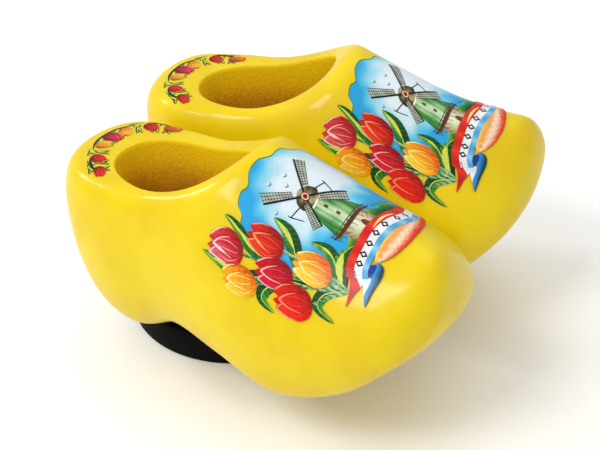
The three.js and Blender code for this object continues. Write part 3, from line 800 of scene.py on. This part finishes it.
def draw_garland(picture):
    reds, golds = ["#6f0d10", "#b8181a", RED, "#ee4a34"], ["#a8560c", "#e08a14", AMBER, "#ffdf58"]
    oranges = ["#7d2410", "#c9401a", ORANGE, "#f59a4a"]
    crimsons = ["#6f0d16", "#a8101e", "#d0202e", "#e8616b"]
    for a in (-6.9, -5.6, -3.4, -1.2, 1.1, 3.3, 5.4, 6.8):
        for way in (-1, 1):
            leaf(picture, [(a - 0.3 * way, 0.3), (a + 0.1 * way, 0.95), (a + 0.75 * way, 1.2)], 0.55, 0,
                 [GARLAND_DARK, GARLAND_GREEN, "#8fb52c"], [GARLAND_DARK, GARLAND_DARK, "#2a5a18"])
            leaf(picture, [(a, 0.3), (a + 0.15 * way, -0.5), (a + 0.5 * way, -1.15)], 0.5, 2,
                 [GARLAND_DARK, GARLAND_GREEN], [GARLAND_DARK, "#2a5a18"])
    for points in ([(-2.9, 0.8), (-1.4, 1.2), (0, 1.25), (1.4, 1.2), (3.0, 0.8)],
                   [(-7.4, 0.3), (-6.2, 0.85), (-4.6, 0.95)], [(7.4, 0.4), (6.2, 0.9), (4.4, 1.0)]):
        picture.stroke(points, [0.06, 0.3, 0.36, 0.26, 0.05], 4, GARLAND_DARK)
    for a, b, height, width, lean, body in (
            (-6.4, 0.0, 2.0, 1.3, 1.5, reds), (6.3, 0.0, 2.1, 1.3, -1.55, oranges),
            (-4.2, 0.7, 1.75, 1.5, 2.4, reds), (4.2, 0.65, 1.75, 1.5, -2.4, reds),
            (-2.2, 0.8, 1.9, 1.5, 3.6, golds), (2.15, 0.8, 1.9, 1.5, 2.7, golds),
            (0.0, 1.05, 2.25, 1.9, pi, crimsons)):
        tulip(picture, np.array([a, b]), height, width, lean, 6, body, body[-1])


def wrap_garland(side, flat, lift):
    """Lays the flat garland along its line on the collar, and halves an angle range to meet it."""
    line = through(GARLAND_LINE[side], 12, closed=False)
    steps = np.linalg.norm(np.diff(line, axis=0), axis=1)
    run = np.concatenate([[0], np.cumsum(steps)])
    along = np.gradient(line, run, axis=0)
    place = (flat[:, 0] / GARLAND_HALF + 1) / 2 * run[-1]
    middle = np.stack([np.interp(place, run, line[:, i]) for i in (0, 1)], axis=-1)
    slope = np.stack([np.interp(place, run, along[:, i]) for i in (0, 1)], axis=-1)
    middle += slope * (place - np.clip(place, 0, run[-1]))[:, None]
    slope /= np.linalg.norm(slope, axis=1)[:, None]
    x = middle[:, 0] + flat[:, 1] * slope[:, 1]
    station = station_at(middle[:, 1] - flat[:, 1] * slope[:, 0])
    outer, inner = np.zeros(len(flat)), np.full(len(flat), pi)
    for _ in range(30):
        angle = (outer + inner) / 2
        beyond = carved_points(station, angle)[:, 0] > side * x
        outer, inner = np.where(beyond, angle, outer), np.where(beyond, inner, angle)
    return stand(side, lifted(station, outer, lift))


garland_picture = Picture()
draw_garland(garland_picture)
for side, hand in ((-1, "right"), (1, "left")):
    film = print_film(garland_picture, "heel_garland_" + hand, side, wrap_garland)
    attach(film, "root")
    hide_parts("heel_transfer_" + hand)

# ---- The stage -------------------------------------------------------------------------------
# A pale floor and soft light: the key on the left, a small box behind it that glints on the
# collars, a weak fill on the right and one above.
FLOOR = "#fbfbfb"
WORLD_STRENGTH = 0.66
LIGHTS_AIM = Vector((0, 0, 12 * MM))
CAMERA_TURN = radians(-64.8)
CAMERA_RISE = radians(35.0)
CAMERA_DISTANCE = 173 * MM
CAMERA_AIM = (-0.07 * MM, 11.3 * MM)     # right and up from the clogs' pivots
FOCAL_LENGTH = 85.26         # in millimetres, on a sensor this wide
SENSOR_WIDTH = 36

scene = bpy.context.scene
scene.view_settings.view_transform = "Standard"
floor_mesh = bmesh.new()
bmesh.ops.create_grid(floor_mesh, x_segments=2, y_segments=2, size=3.0)
pale_floor, tree, shader = new_material("pale floor", Roughness=0.9)
shader.inputs["Base Color"].default_value = linear(FLOOR)
floor = finished_piece("floor", floor_mesh, pale_floor)

back = Vector((sin(CAMERA_TURN) * cos(CAMERA_RISE), -cos(CAMERA_TURN) * cos(CAMERA_RISE), sin(CAMERA_RISE)))
right = Vector((cos(CAMERA_TURN), sin(CAMERA_TURN), 0))
up = back.cross(right)
pivots = Vector((disc_middle.x, disc_middle.y - DISC_BEHIND_PIVOTS * MM, disc_low.z))
aim = pivots + CAMERA_AIM[0] * right + CAMERA_AIM[1] * up
camera_data = bpy.data.cameras.new("camera")
camera_data.sensor_width = SENSOR_WIDTH
camera_data.lens = FOCAL_LENGTH
camera_data.clip_start = 0.01
camera = bpy.data.objects.new("camera", camera_data)
camera.location = aim + CAMERA_DISTANCE * back
camera.rotation_euler = back.to_track_quat("Z", "Y").to_euler()
scene.collection.objects.link(camera)
scene.camera = camera


def soft_box(name, turn, rise, distance, size, power):
    """A square area light at a direction from the object, aimed at it, in metres and watts."""
    direction = Vector((sin(turn) * cos(rise), -cos(turn) * cos(rise), sin(rise)))
    lamp = bpy.data.lights.new(name, "AREA")
    lamp.shape = "SQUARE"
    lamp.size = size
    lamp.energy = power
    light = bpy.data.objects.new(name, lamp)
    light.location = LIGHTS_AIM + direction * distance
    light.rotation_euler = direction.to_track_quat("Z", "Y").to_euler()
    scene.collection.objects.link(light)


soft_box("key", CAMERA_TURN - radians(48), radians(48), 0.45, 0.14, 0.8)
soft_box("rim", CAMERA_TURN - radians(108), radians(34), 0.45, 0.1, 0.5)
soft_box("fill", CAMERA_TURN + radians(50), radians(30), 0.6, 0.5, 0.1)
soft_box("top", CAMERA_TURN + radians(160), radians(70), 0.6, 0.4, 0.6)
world = bpy.data.worlds.new("studio")
world.use_nodes = True
world.node_tree.nodes["Background"].inputs["Color"].default_value = (1, 1, 1, 1)
world.node_tree.nodes["Background"].inputs["Strength"].default_value = WORLD_STRENGTH
scene.world = world
